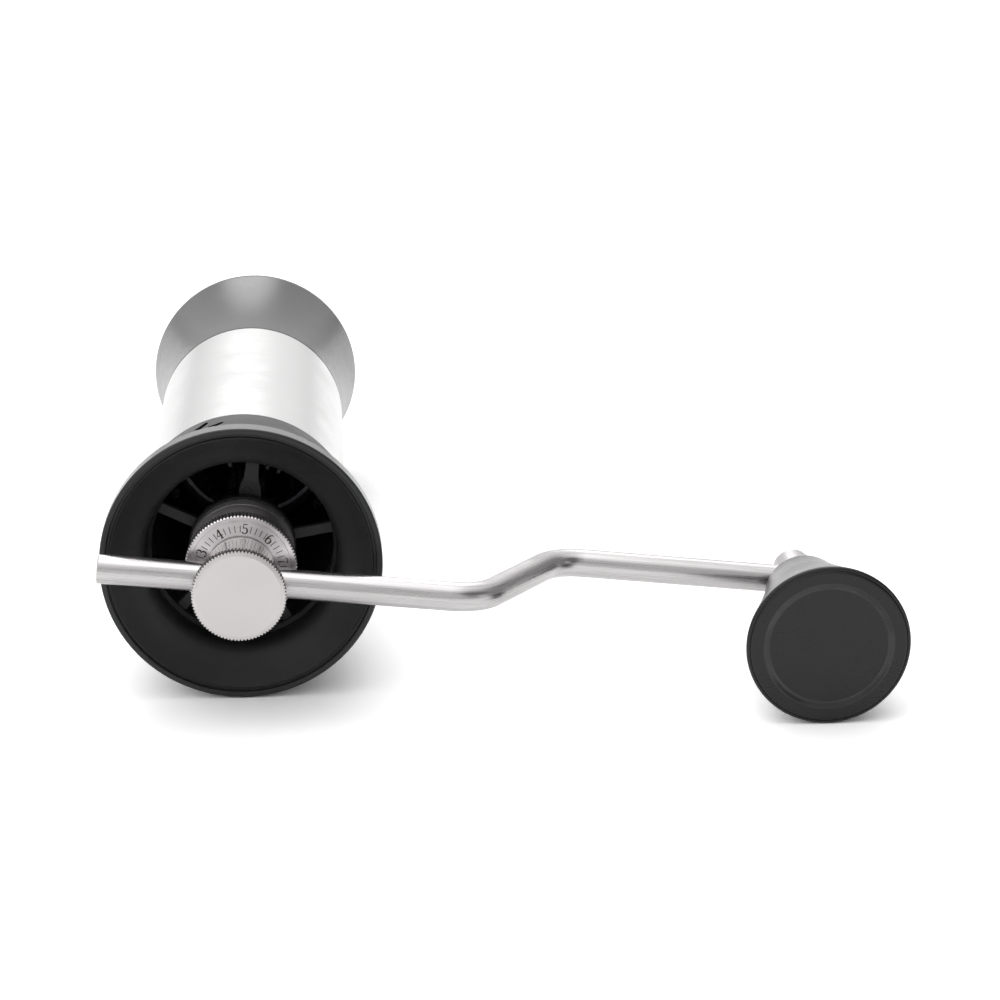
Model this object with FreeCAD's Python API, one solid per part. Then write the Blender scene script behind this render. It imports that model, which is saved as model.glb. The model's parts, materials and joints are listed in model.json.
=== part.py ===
import FreeCAD, Part
import math
import os
from FreeCAD import Vector as V

# Hand crank coffee grinder, standing on its foot.  +Z runs from the foot to the
# crank end, the origin is the bottom centre of the foot, the crank points along +X.
# All dimensions are in millimetres.

os.makedirs("parts", exist_ok=True)

# ---------------------------------------------------------------- driving dimensions
TUBE_R = 28.8            # steel body tube, outside radius
TUBE_RI = 27.5           # steel body tube, inside radius
TUBE_Z0 = 54.15          # lower end of the tube
TUBE_Z1 = 193.0          # upper end of the tube, hidden in the funnel
FIT_R = 27.42            # outside radius of everything that slides into the tube

FOOT_R = 33.75           # widest radius of the flared foot
CUP_SHOULDER = 53.85     # where the foot meets the tube
CUP_TOP = 62.2           # top of the cup's spigot
CUP_RI = 25.4            # inside radius of the cup

COLLAR_Z0 = 163.0        # lower edge of the collar
COLLAR_Z1 = 199.6        # where the collar meets the funnel band
COLLAR_R0 = 31.3
COLLAR_R1 = 38.45
RIM_R = 38.85            # funnel rim radius
RIM_Z = 205.0            # funnel rim height
THROAT_R = 26.4          # funnel opening radius

ARM_ANGLE0 = 88.0        # first spider arm, degrees from the crank
ARM_COUNT = 5
ARM_W = 3.5
ARM_TOP = 186.0
HUB_R = 14.95            # spider hub
HUB_TOP = 190.2

SHAFT_R = 3.98           # drive shaft journal
THREAD_R = 6.0           # dial thread on the shaft
POST_R = 9.45            # bored post that holds the crank rod
POST_Z0 = 209.2
POST_Z1 = 227.2

DIAL_R = 15.35
DIAL_Z0 = 204.0
DIAL_Z1 = 208.5
SKIRT_R = 14.5
SKIRT_Z0 = 190.5
DIAL_TEETH = 100
DIAL_DIVISIONS = 50

CLAMP_R = 12.65          # knurled head of the clamp screw
CLAMP_FACE_R = 11.35
CLAMP_Z0 = 227.7
CLAMP_Z1 = 231.1
CLAMP_STEM_R = 3.98
CLAMP_TEETH = 84

ROD_R = 4.0
ROD_Z = 217.2            # height of the rod where it passes the shaft
ARM_Z = 179.4            # height of the outer arm
ROD_X0 = -38.5           # plain end of the stub
BEND1_X = 65.3
BEND2_X = 88.8
BEND_R = 14.0
KNOB_X = 159.2           # crank radius: axis of the knob

BOSS_R = 5.6
BOSS_Z0 = 167.4
BOSS_Z1 = 187.6
KNOB_Z0 = 188.4
KNOB_Z1 = 234.2
KNOB_R = 22.4

# 608-size ball bearing
BRG_RI, BRG_RO, BRG_W = 4.0, 11.0, 7.0
BRG_RIO, BRG_ROI = 6.05, 9.3
BALL_R, BALL_PCR, BALL_N = 1.98, 7.6, 7
UPPER_BRG_Z = 177.0
LOWER_BRG_Z = 99.0

BURR_Z0, BURR_Z1 = 68.0, 94.4
OUT_BURR_Z0, OUT_BURR_Z1 = 70.0, 85.0
OUT_BURR_R = 23.5


# ---------------------------------------------------------------- helpers
def revolve(points, cx=0.0, cy=0.0):
    """Solid of revolution about the vertical line through (cx, cy)."""
    pts = [V(cx + r, cy, z) for r, z in points]
    wire = Part.makePolygon(pts + [pts[0]])
    return Part.Face(wire).revolve(V(cx, cy, 0), V(0, 0, 1), 360)


def revolve_mixed(runs, cx=0.0, cy=0.0):
    """Solid of revolution from an outline of straight runs (lists) and smooth curves (tuples of points).

    Each run starts where the one before ends, and the last closes on the first.
    """
    edges = []
    first = last = None
    for run in runs:
        pts = [V(cx + r, cy, z) for r, z in run]
        if last is not None and (pts[0] - last).Length > 1e-7:
            edges.append(Part.makeLine(last, pts[0]))
        if isinstance(run, tuple):
            curve = Part.BSplineCurve()
            curve.interpolate(pts)
            edges.append(curve.toShape())
        else:
            for p, q in zip(pts, pts[1:]):
                edges.append(Part.makeLine(p, q))
        if first is None:
            first = pts[0]
        last = pts[-1]
    if (last - first).Length > 1e-7:
        edges.append(Part.makeLine(last, first))
    face = Part.Face(Part.Wire(edges))
    return face.revolve(V(cx, cy, 0), V(0, 0, 1), 360)


def ring(r0, r1, z0, z1, cx=0.0, cy=0.0):
    outer = Part.makeCylinder(r1, z1 - z0, V(cx, cy, z0))
    if r0 <= 0:
        return outer
    return outer.cut(Part.makeCylinder(r0, z1 - z0 + 2, V(cx, cy, z0 - 1)))


def cyl(r, z0, z1, x=0.0, y=0.0):
    return Part.makeCylinder(r, z1 - z0, V(x, y, z0))


def box(x0, x1, y0, y1, z0, z1):
    return Part.makeBox(x1 - x0, y1 - y0, z1 - z0, V(x0, y0, z0))


def turned(shape, deg, cx=0.0, cy=0.0):
    s = shape.copy()
    s.rotate(V(cx, cy, 0), V(0, 0, 1), deg)
    return s


def toothed(r_tip, r_root, n, z0, z1, flat=0.32):
    """Straight knurled prism: n small trapezoid teeth round a cylinder."""
    pts = []
    for i in range(n):
        a = 2 * math.pi * i / n
        p = 2 * math.pi / n
        for fr, r in ((-0.5 * flat, r_tip), (0.5 * flat, r_tip), (0.5, r_root)):
            pts.append(V(r * math.cos(a + fr * p), r * math.sin(a + fr * p), z0))
    wire = Part.makePolygon(pts + [pts[0]])
    return Part.Face(wire).extrude(V(0, 0, z1 - z0))


def fused(shapes):
    s = shapes[0]
    if len(shapes) > 1:
        s = s.fuse(shapes[1:])
    return s.removeSplitter()


def save(name, shape):
    if not shape.isValid():
        shape.fix(0.001, 0.001, 0.01)
    print(name, "valid" if shape.isValid() else "INVALID", len(shape.Solids), "solids",
          round(shape.Volume, 1))
    shape.exportStep("parts/%s.step" % name)


# ---------------------------------------------------------------- body tube
tube = ring(TUBE_RI, TUBE_R, TUBE_Z0, TUBE_Z1)
tube = tube.cut(ring(TUBE_RI - 1, 28.15, 65.1, 66.5))          # groove for the retaining ring
tube = tube.cut(revolve([(TUBE_R - 0.25, TUBE_Z0 - 0.1), (TUBE_R + 1, TUBE_Z0 - 0.1), (TUBE_R + 1, TUBE_Z0 + 1.15)]))
save("body_tube", tube)

# ---------------------------------------------------------------- collar
slope = (COLLAR_R1 - COLLAR_R0) / (COLLAR_Z1 - COLLAR_Z0)
skirt_in = 2.2
r_in_hi = COLLAR_R1 - skirt_in
r_in_lo = COLLAR_R0 + slope * (173.0 - COLLAR_Z0) - skirt_in
collar = revolve([
    (TUBE_R + 0.05, COLLAR_Z0), (COLLAR_R0 - 0.35, COLLAR_Z0), (COLLAR_R0, COLLAR_Z0 + 0.4),
    (COLLAR_R1, COLLAR_Z1), (36.95, COLLAR_Z1), (36.95, COLLAR_Z1 + 1.0),
    (r_in_hi, COLLAR_Z1 + 1.0), (r_in_hi, COLLAR_Z1 - 0.2), (r_in_lo, 173.0),
    (30.3, 173.0), (30.3, 192.0), (TUBE_R + 0.05, 192.0)])


SLOT_DROP = 2.4          # fall of a slot per mm inwards


def skirt_slot(points):
    """Prism through the skirt only, falling inwards; points are (degrees, z) on the outside of the skirt."""
    mid = sum(a for a, z in points) / len(points)
    loop = []
    for a, z in points:
        r = COLLAR_R0 + slope * (z - COLLAR_Z0)
        t = math.radians(a - mid)
        loop.append(V(42.0, r * math.sin(t), z + SLOT_DROP * (42.0 - r * math.cos(t))))
    f = Part.Face(Part.makePolygon(loop + [loop[0]]))
    return turned(f.extrude(V(-11.2, 0, -11.2 * SLOT_DROP)), mid)


# per arm: a tall leaf-shaped slot, a smaller one beside it, and a low one across the arm
TALL_SLOT = [(26.9, 195.2), (27.6, 187.5), (26.5, 182.5), (25.9, 177.3), (25.3, 174.4), (24.2, 174.2), (22.9, 180.4),
             (23.3, 184.6), (23.8, 190.0), (24.2, 195.0), (24.9, 197.4)]
SMALL_SLOT = [(21.1, 194.4), (20.9, 191.9), (19.6, 190.0), (18.0, 188.2), (16.6, 185.6), (15.5, 184.4), (14.7, 186.6),
              (15.7, 191.6), (16.7, 195.4), (18.4, 196.9), (20.0, 197.2)]
LOW_SLOT = [(-20.6, 196.0), (-21.4, 193.9), (-23.2, 192.6), (-28.2, 192.4), (-28.7, 194.0), (-27.4, 197.4), (-23.4, 198.4), (-21.2, 198.0)]
slots = []
for k in range(ARM_COUNT):
    a0 = ARM_ANGLE0 + 72.0 * k
    for s in (TALL_SLOT, SMALL_SLOT, LOW_SLOT):
        slots.append(skirt_slot([(a0 + a, z) for a, z in s]))
for c in slots:
    collar = collar.cut(c)
save("collar", collar)

# ---------------------------------------------------------------- funnel
lower = [(THROAT_R, 188.8), (FIT_R, 188.8), (FIT_R, TUBE_Z1 + 0.1), (TUBE_R, TUBE_Z1 + 0.1),
         (TUBE_R, 195.9), (37.05, 202.5), (37.05, COLLAR_Z1 + 0.1), (RIM_R, COLLAR_Z1 + 0.1), (RIM_R, 204.3)]
rim = ((RIM_R, 204.3), (RIM_R - 0.08, 204.65), (RIM_R - 0.32, 204.9), (RIM_R - 0.7, RIM_Z))
lip = [(RIM_R - 0.7, RIM_Z), (37.45, RIM_Z), (37.25, 204.8), (37.2, 203.75), (37.05, 203.6), (36.45, 203.6), (36.3, 203.75), (36.25, 204.2), (36.0, 204.35)]
# the dish: a shallow curve from the groove down into the rounded throat
dish_a, dish_b = (36.0, 204.35), (28.2, 197.75)
dish = [dish_a]
for i in range(1, 8):
    t = i / 8.0
    dish.append((dish_a[0] + (dish_b[0] - dish_a[0]) * t, dish_a[1] + (dish_b[1] - dish_a[1]) * t - 0.55 * math.sin(math.pi * t)))
dish += [dish_b, (27.35, 196.85), (26.75, 195.8), (26.47, 194.7), (THROAT_R, 193.6)]
funnel = revolve_mixed([lower, rim, lip, tuple(dish)])
# three small upright lugs just inside the opening, beside the first arm
fins = []
for da in (13.8, -9.3, -16.4):
    f = Part.Face(Part.makePolygon([V(THROAT_R + 0.4, -0.42, 189.4), V(24.9, -0.42, 189.9), V(24.9, -0.42, 193.6), V(25.6, -0.42, 194.8),
                                    V(THROAT_R + 0.4, -0.42, 195.4), V(THROAT_R + 0.4, -0.42, 189.4)])).extrude(V(0, 0.84, 0))
    fins.append(turned(f, ARM_ANGLE0 + da))
funnel = funnel.fuse(fins).removeSplitter()
save("funnel", funnel)

# ---------------------------------------------------------------- hopper liner
liner = ring(26.4, FIT_R, 104.6, 180.0)
liner = liner.cut(revolve([(26.0, 180.1), (27.0, 180.1), (26.0, 178.0)]))
save("hopper_liner", liner)

# ---------------------------------------------------------------- bearing spider
spider_parts = [revolve([(25.4, 180.2), (FIT_R, 180.2), (FIT_R, 188.6), (26.6, 188.6), (25.4, 187.6)])]
ARM_Z0 = 181.4
CUP_WALL_R = 12.7
for k in range(ARM_COUNT):
    # each arm is flat on top and tapers to a narrow underside
    hw, hb = ARM_W / 2, 0.45
    arm = Part.Face(Part.makePolygon([
        V(11.6, -hw, ARM_TOP - 0.9), V(11.6, -hw + 0.35, ARM_TOP), V(11.6, hw - 0.35, ARM_TOP), V(11.6, hw, ARM_TOP - 0.9),
        V(11.6, hb, ARM_Z0), V(11.6, -hb, ARM_Z0), V(11.6, -hw, ARM_TOP - 0.9)])).extrude(V(14.8, 0, 0))
    spider_parts.append(turned(arm, ARM_ANGLE0 + 72.0 * k))
# index boss on the first arm, broad at the hub and narrowing outwards
boss = Part.Face(Part.makePolygon([
    V(12.0, -3.4, 182.6), V(15.2, -3.38, 182.6), V(16.3, -3.22, 182.6), V(17.3, -2.95, 182.6), V(18.4, -2.5, 182.6), V(19.5, -2.15, 182.6),
    V(21.0, -1.95, 182.6), V(24.4, -1.9, 182.6), V(24.4, 1.75, 182.6), V(20.4, 1.75, 182.6), V(19.3, 1.9, 182.6), V(18.4, 2.2, 182.6),
    V(17.5, 2.52, 182.6), V(16.6, 2.7, 182.6), V(15.2, 2.75, 182.6), V(12.0, 2.75, 182.6), V(12.0, -3.4, 182.6)])).extrude(V(0, 0, ARM_TOP + 0.6 - 182.6))
boss = boss.cut(Part.Face(Part.makePolygon([V(18.0, -5, ARM_TOP + 0.7), V(25.5, -5, ARM_TOP + 0.7), V(25.5, -5, ARM_TOP - 0.4), V(18.0, -5, ARM_TOP + 0.7)])).extrude(V(0, 10, 0)))
spider_parts.append(turned(boss, ARM_ANGLE0))
# flange under the dial, on a narrower cup that holds the bearing
hub = revolve([(9.6, 175.4), (11.4, 175.4), (CUP_WALL_R, 176.8), (CUP_WALL_R, 186.2), (HUB_R, 187.5), (HUB_R, HUB_TOP - 0.3),
               (HUB_R - 0.3, HUB_TOP), (11.9, HUB_TOP),
               (11.9, 185.4), (BRG_RO + 0.02, 185.4), (BRG_RO + 0.02, UPPER_BRG_Z), (9.6, UPPER_BRG_Z)])
spider_parts.append(hub)
spider = fused(spider_parts)
spider = spider.cut(cyl(BRG_RO + 0.02, UPPER_BRG_Z, 192)).cut(cyl(9.6, 170, 178)).cut(cyl(11.9, 185.4, 192))
spider = spider.cut(ring(10.0, 11.5, 184.05, 185.15))
# index mark: a small raised chevron on the boss, its point away from the dial
arrow = Part.Face(Part.makePolygon([V(16.95, 0, 186.4), V(16.0, 1.35, 186.4), V(15.5, 1.35, 186.4), V(16.35, 0, 186.4),
                                    V(15.5, -1.35, 186.4), V(16.0, -1.35, 186.4), V(16.95, 0, 186.4)])).extrude(V(0, 0, 0.5))
spider = spider.fuse(turned(arrow, ARM_ANGLE0 + 2.0)).removeSplitter()
save("bearing_spider", spider)


# ---------------------------------------------------------------- ball bearings
def bearing(prefix, z0):
    zc = z0 + BRG_W / 2
    groove = Part.makeTorus(BALL_PCR, BALL_R + 0.05, V(0, 0, zc), V(0, 0, 1))
    save(prefix + "_bearing_outer_ring", ring(BRG_ROI, BRG_RO, z0, z0 + BRG_W).cut(groove))
    save(prefix + "_bearing_inner_ring", ring(BRG_RI + 0.02, BRG_RIO, z0, z0 + BRG_W).cut(groove))
    balls = []
    for i in range(BALL_N):
        a = 2 * math.pi * i / BALL_N
        balls.append(Part.makeSphere(BALL_R, V(BALL_PCR * math.cos(a), BALL_PCR * math.sin(a), zc)))
    save(prefix + "_bearing_balls", Part.makeCompound(balls))


bearing("upper", UPPER_BRG_Z)
bearing("lower", LOWER_BRG_Z)


def circlip(z0, z1, r_out):
    c = ring(9.7, r_out, z0, z1)
    c = c.cut(box(-1.5, 1.5, -15, -6, z0 - 1, z1 + 1))
    for x in (-2.7, 2.7):
        ear = cyl(1.1, z0, z1, x, -8.9)
        ear = ear.cut(cyl(0.45, z0 - 1, z1 + 1, x, -8.9))
        c = c.fuse(ear)
    for x in (-2.7, 2.7):
        c = c.cut(cyl(0.45, z0 - 1, z1 + 1, x, -8.9))
    return c.removeSplitter()


save("upper_bearing_circlip", circlip(184.1, 185.05, 11.42))
save("lower_bearing_circlip", circlip(97.95, 98.9, 11.42))
save("spacer_sleeve", ring(BRG_RI + 0.03, 5.5, LOWER_BRG_Z + BRG_W + 0.03, UPPER_BRG_Z - 0.03))
save("thrust_washer", ring(BRG_RI + 0.05, 7.2, UPPER_BRG_Z + BRG_W + 0.02, UPPER_BRG_Z + BRG_W + 1.2))

# ---------------------------------------------------------------- adjustment dial
dial = revolve([
    (THREAD_R + 0.05, 185.3), (8.6, 185.3), (8.6, 201.6), (9.2, 202.4), (SKIRT_R - 1.6, 202.4), (SKIRT_R - 1.6, SKIRT_Z0),
    (SKIRT_R - 0.25, SKIRT_Z0), (SKIRT_R, SKIRT_Z0 + 0.25), (SKIRT_R, 195.1), (SKIRT_R - 0.12, 195.25), (SKIRT_R - 0.12, 195.55),
    (SKIRT_R, 195.7), (SKIRT_R, DIAL_Z0 + 0.2), (SKIRT_R - 0.5, DIAL_Z0 + 0.4), (SKIRT_R - 0.5, DIAL_Z1 - 0.35), (SKIRT_R - 0.7, DIAL_Z1),
    (THREAD_R + 0.5, DIAL_Z1), (THREAD_R + 0.05, DIAL_Z1 - 0.5)])
knurl = toothed(DIAL_R, DIAL_R - 0.50, DIAL_TEETH, DIAL_Z0, DIAL_Z1).cut(cyl(SKIRT_R - 0.6, DIAL_Z0 - 1, DIAL_Z1 + 1))
bevel = revolve([(DIAL_R - 0.45, DIAL_Z1 + 0.05), (DIAL_R + 0.6, DIAL_Z1 + 0.05), (DIAL_R + 0.6, DIAL_Z1 - 0.75)])
bevel2 = revolve([(DIAL_R - 0.45, DIAL_Z0 - 0.05), (DIAL_R + 0.6, DIAL_Z0 - 0.05), (DIAL_R + 0.6, DIAL_Z0 + 0.75)])
knurl = knurl.cut(bevel).cut(bevel2)
dial = dial.fuse(knurl).removeSplitter()
dial = dial.cut(ring(THREAD_R - 0.5, THREAD_R + 0.95, 190.0, 191.6))   # seat of the friction ring
ticks = []
for i in range(DIAL_DIVISIONS):
    if i % 5 == 0:
        continue
    a = ARM_ANGLE0 + 360.0 * i / DIAL_DIVISIONS
    ticks.append(turned(box(10.6, 12.6, -0.11, 0.11, DIAL_Z1 - 0.14, DIAL_Z1 + 0.5), a))
dial = dial.cut(Part.makeCompound(ticks))
save("adjustment_dial", dial)
# rubber ring of round section that gives the dial its drag
fr = Part.makeTorus(THREAD_R + 0.47, 0.42, V(0, 0, 190.8), V(0, 0, 1))
save("dial_friction_ring", fr)

# ---------------------------------------------------------------- drive shaft
shaft = revolve([
    (0, 70.0), (SHAFT_R - 0.4, 70.0), (SHAFT_R, 70.4), (SHAFT_R, 187.6), (THREAD_R - 0.5, 187.6), (THREAD_R, 188.1),
    (THREAD_R, POST_Z0), (POST_R, POST_Z0), (POST_R, POST_Z1 - 0.7), (POST_R - 0.7, POST_Z1), (0, POST_Z1)])
shaft = shaft.cut(Part.makeCylinder(ROD_R + 0.05, 30, V(-15, 0, ROD_Z), V(1, 0, 0)))   # cross bore for the rod
shaft = shaft.cut(cyl(CLAMP_STEM_R + 0.05, ROD_Z, POST_Z1 + 1))                         # tapped bore for the clamp screw
shaft = shaft.cut(box(2.9, 6, -1.0, 1.0, 74.0, 84.0))                  # keyway
shaft = shaft.cut(cyl(2.52, 69, 84))                                    # tapped hole for the burr bolt
save("drive_shaft", shaft)

# ---------------------------------------------------------------- crank rod
dx, dz = BEND2_X - BEND1_X, ARM_Z - ROD_Z
seg = math.hypot(dx, dz)
turn = math.atan2(-dz, dx)
tl = BEND_R * math.tan(turn / 2)
ux, uz = dx / seg, dz / seg
a0, a1 = V(BEND1_X - tl, 0, ROD_Z), V(BEND1_X + ux * tl, 0, ROD_Z + uz * tl)
b0, b1 = V(BEND2_X - ux * tl, 0, ARM_Z - uz * tl), V(BEND2_X + tl, 0, ARM_Z)
c1, c2 = V(BEND1_X - tl, 0, ROD_Z - BEND_R), V(BEND2_X + tl, 0, ARM_Z + BEND_R)
ma = V(c1.x + BEND_R * math.sin(turn / 2), 0, c1.z + BEND_R * math.cos(turn / 2))
mb = V(c2.x - BEND_R * math.sin(turn / 2), 0, c2.z - BEND_R * math.cos(turn / 2))
path = Part.Wire([
    Part.makeLine(V(ROD_X0, 0, ROD_Z), a0), Part.Arc(a0, ma, a1).toShape(), Part.makeLine(a1, b0),
    Part.Arc(b0, mb, b1).toShape(), Part.makeLine(b1, V(KNOB_X, 0, ARM_Z))])
prof = Part.Wire(Part.makeCircle(ROD_R, V(ROD_X0, 0, ROD_Z), V(1, 0, 0)))
rod = path.makePipeShell([prof], True, False)
rod = rod.cut(cyl(BOSS_R + 0.02, ARM_Z - 12, ARM_Z + 12, KNOB_X, 0))
rod = max(rod.Solids, key=lambda s: s.Volume)
try:
    end = [e for e in rod.Edges if e.BoundBox.XMax < ROD_X0 + 0.01]
    rod = rod.makeChamfer(0.35, end)
except Exception:
    pass
save("crank_rod", rod)

# ---------------------------------------------------------------- clamp screw
clamp = toothed(CLAMP_R, CLAMP_R - 0.52, CLAMP_TEETH, CLAMP_Z0, CLAMP_Z1)
clamp = clamp.cut(revolve([(CLAMP_FACE_R - 0.1, CLAMP_Z1 + 0.05), (CLAMP_R + 1, CLAMP_Z1 + 0.05), (CLAMP_R + 1, CLAMP_Z1 - 0.95)]))
clamp = clamp.cut(revolve([(CLAMP_R - 0.5, CLAMP_Z0 - 0.05), (CLAMP_R + 1, CLAMP_Z0 - 0.05), (CLAMP_R + 1, CLAMP_Z0 + 0.8)]))
stem = revolve([(0, ROD_Z + ROD_R + 0.1), (2.6, ROD_Z + ROD_R + 0.1), (CLAMP_STEM_R, ROD_Z + ROD_R + 1.1), (CLAMP_STEM_R, CLAMP_Z0 + 0.5), (0, CLAMP_Z0 + 0.5)])
clamp = clamp.fuse(stem).removeSplitter()
save("clamp_screw", clamp)

# ---------------------------------------------------------------- knob boss, spindle, washer, bushings
kboss = revolve([(0, BOSS_Z0), (BOSS_R - 0.7, BOSS_Z0), (BOSS_R, BOSS_Z0 + 0.7), (BOSS_R, BOSS_Z1 - 0.4), (BOSS_R - 0.4, BOSS_Z1), (3.02, BOSS_Z1),
                 (3.02, BOSS_Z0 + 2.2), (0, BOSS_Z0 + 2.2)], KNOB_X)
save("knob_boss", kboss)
spindle = revolve([(0, BOSS_Z0 + 3.0), (2.6, BOSS_Z0 + 3.0), (2.98, BOSS_Z0 + 3.4), (2.98, BOSS_Z1 + 0.03), (3.5, BOSS_Z1 + 0.03), (3.5, 222.4),
                   (6.0, 222.4), (6.0, 225.2), (5.5, 225.7), (0, 225.7)], KNOB_X)
hexa = Part.makePolygon([V(KNOB_X + 2.3 * math.cos(math.radians(60 * i)), 2.3 * math.sin(math.radians(60 * i)), 223.4) for i in range(7)])
spindle = spindle.cut(Part.Face(hexa).extrude(V(0, 0, 4)))
save("knob_spindle", spindle)
save("knob_thrust_washer", ring(3.56, 6.6, BOSS_Z1 + 0.08, BOSS_Z1 + 0.68, KNOB_X))
save("knob_bushings", Part.makeCompound([ring(3.55, 4.96, 188.7, 196.5, KNOB_X), ring(3.55, 4.96, 214.2, 222.1, KNOB_X)]))

# ---------------------------------------------------------------- knob body and cap
side = [(11.15, KNOB_Z0 + 2.0)]
for i in range(1, 10):
    t = i / 10.0
    side.append((11.15 + (21.9 - 11.15) * (t ** 1.12), KNOB_Z0 + 2.0 + (231.2 - KNOB_Z0 - 2.0) * t))
side.append((21.9, 231.2))
kb = revolve_mixed([
    ((9.6, KNOB_Z0), (10.35, KNOB_Z0 + 0.22), (10.85, KNOB_Z0 + 0.85), (11.15, KNOB_Z0 + 2.0)),
    tuple(side),
    ((21.9, 231.2), (22.18, 232.0), (22.36, 232.7), (22.4, 233.15), (22.28, 233.6), (22.0, 233.84), (21.65, 233.9)),
    [(21.65, 233.9), (21.55, 233.9), (21.55, 231.35), (19.2, 231.35), (19.2, 228.0), (17.6, 226.0), (8.0, 226.0), (8.0, 222.15),
     (5.0, 222.15), (5.0, KNOB_Z0)]], KNOB_X)
save("knob_body", kb)
kc = revolve_mixed([
    [(0, 231.4), (17.6, 231.4), (17.6, 228.6), (19.15, 228.6), (19.15, 231.4), (21.45, 231.4), (21.45, 233.65)],
    ((21.45, 233.65), (21.36, 233.92), (21.1, 234.12), (20.7, KNOB_Z1)),
    [(20.7, KNOB_Z1), (17.95, KNOB_Z1)],
    ((17.95, KNOB_Z1), (17.5, 234.1), (17.1, 233.88), (16.6, 233.7), (16.0, 233.62)),
    [(16.0, 233.62), (0, 233.62)]], KNOB_X)
save("knob_cap", kc)

# ---------------------------------------------------------------- lower bearing bracket
brk = [revolve([(23.2, 96.05), (FIT_R, 96.05), (FIT_R, 104.0), (24.4, 104.0), (23.2, 102.6)])]
for a in (30, 150, 270):
    brk.append(turned(box(12.5, 24.2, -2.6, 2.6, 96.05, 103.4), a))
brk.append(revolve([(6.3, 96.05), (13.2, 96.05), (13.6, 96.6), (13.6, 107.0), (8.2, 112.2), (6.3, 112.2)]))
brk = fused(brk)
brk = brk.cut(cyl(BRG_RO + 0.02, 90, LOWER_BRG_Z + BRG_W)).cut(cyl(9.5, 90, 106.9)).cut(ring(10.0, 11.5, 97.9, 98.95))
cs = []
for a in (90, 210, 330):
    cs.append(turned(cyl(1.3, 90, 110, 25.4, 0), a))
    cs.append(turned(cyl(2.3, 102.3, 110, 25.4, 0), a))
brk = brk.cut(Part.makeCompound(cs[::2])).cut(Part.makeCompound(cs[1::2]))
save("lower_bearing_bracket", brk)
scr = []
for a in (90, 210, 330):
    s = revolve([(0, 86.5), (0.9, 86.5), (1.25, 87.0), (1.25, 102.33), (1.95, 102.33), (1.95, 103.6), (1.65, 103.9), (0, 103.9)], 25.4)
    hx = Part.Face(Part.makePolygon([V(25.4 + 0.9 * math.cos(math.radians(60 * i)), 0.9 * math.sin(math.radians(60 * i)), 102.9) for i in range(7)])).extrude(V(0, 0, 2))
    scr.append(turned(s.cut(hx), a))
save("bracket_screws", Part.makeCompound(scr))

# ---------------------------------------------------------------- burr carrier and its screws
car = revolve([(21.9, 66.6), (FIT_R, 66.6), (FIT_R, 96.0), (24.6, 96.0), (23.55, 94.6), (23.55, 69.98), (21.9, 69.98)])
for a in (90, 210, 330):
    car = car.cut(turned(cyl(1.27, 86, 100, 25.4, 0), a))
for a in (30, 150, 270):
    car = car.cut(turned(Part.makeCylinder(1.52, 8, V(22, 0, 77.5), V(1, 0, 0)), a))
save("burr_carrier", car)
sets = []
for a in (30, 150, 270):
    s = Part.makeCylinder(1.5, 3.35, V(23.85, 0, 77.5), V(1, 0, 0))
    s = s.fuse(Part.makeCone(0.7, 1.5, 0.7, V(23.15, 0, 77.5), V(1, 0, 0)))
    hx = Part.Face(Part.makePolygon([V(28, 0.75 * math.cos(math.radians(60 * i)), 77.5 + 0.75 * math.sin(math.radians(60 * i))) for i in range(7)])).extrude(V(-2.3, 0, 0))
    sets.append(turned(s.cut(hx).removeSplitter(), a))
save("carrier_set_screws", Part.makeCompound(sets))
rr = ring(25.7, 28.1, 65.2, 66.4).cut(box(-2, 2, -30, -20, 60, 70))
save("carrier_retaining_ring", rr)

# ---------------------------------------------------------------- burrs
ob = revolve([(20.5, OUT_BURR_Z0), (OUT_BURR_R, OUT_BURR_Z0), (OUT_BURR_R, 76.4), (OUT_BURR_R - 0.65, 77.1), (OUT_BURR_R - 0.65, 77.9), (OUT_BURR_R, 78.6),
              (OUT_BURR_R, OUT_BURR_Z1), (22.4, OUT_BURR_Z1), (19.4, 74.4)])
vg = []
for i in range(36):
    g = Part.Face(Part.makePolygon([V(0, -0.62, 0), V(0, 0.62, 0), V(0.75, 0, 0), V(0, -0.62, 0)])).extrude(V(0, 0, 20))
    g.rotate(V(0, 0, 0), V(0, 1, 0), 13)
    g.translate(V(17.9, 0, 69.0))
    g.rotate(V(19.4, 0, 75), V(1, 0, 0), 12)
    vg.append(turned(g, i * 10.0))
ob = ob.cut(vg)
ob = max(ob.Solids, key=lambda s: s.Volume)
save("outer_burr", ob)

ib = revolve([(2.6, BURR_Z0), (19.7, BURR_Z0), (20.0, BURR_Z0 + 0.4), (18.8, 74.4), (9.2, BURR_Z1), (6.4, BURR_Z1), (6.4, 90.0),
              (SHAFT_R + 0.03, 90.0), (SHAFT_R + 0.03, 69.9), (2.6, 69.9)])
fl = []
for i in range(6):
    g = Part.makeCylinder(3.6, 34, V(0, 0, 0), V(0, 0, 1))
    g.rotate(V(0, 0, 0), V(0, 1, 0), -24)
    g.translate(V(19.6, 0, 73.2))
    g.rotate(V(15, 0, 84), V(1, 0, 0), 24)
    fl.append(turned(g, i * 60.0))
ib = ib.cut(fl)
fg = []
for i in range(36):
    g = Part.Face(Part.makePolygon([V(0.3, -0.55, 0), V(0.3, 0.55, 0), V(-0.6, 0, 0), V(0.3, -0.55, 0)])).extrude(V(0, 0, 9))
    g.rotate(V(0, 0, 0), V(0, 1, 0), -11)
    g.translate(V(20.2, 0, 67.5))
    g.rotate(V(19.4, 0, 71), V(1, 0, 0), -14)
    fg.append(turned(g, i * 10.0 + 5))
ib = ib.cut(fg)
ib = ib.cut(box(0, 5.02, -1.02, 1.02, 73.9, 84.1))
ib = max(ib.Solids, key=lambda s: s.Volume)
save("inner_burr", ib)
save("burr_key", box(2.93, 4.98, -0.98, 0.98, 74.05, 83.95))
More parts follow.
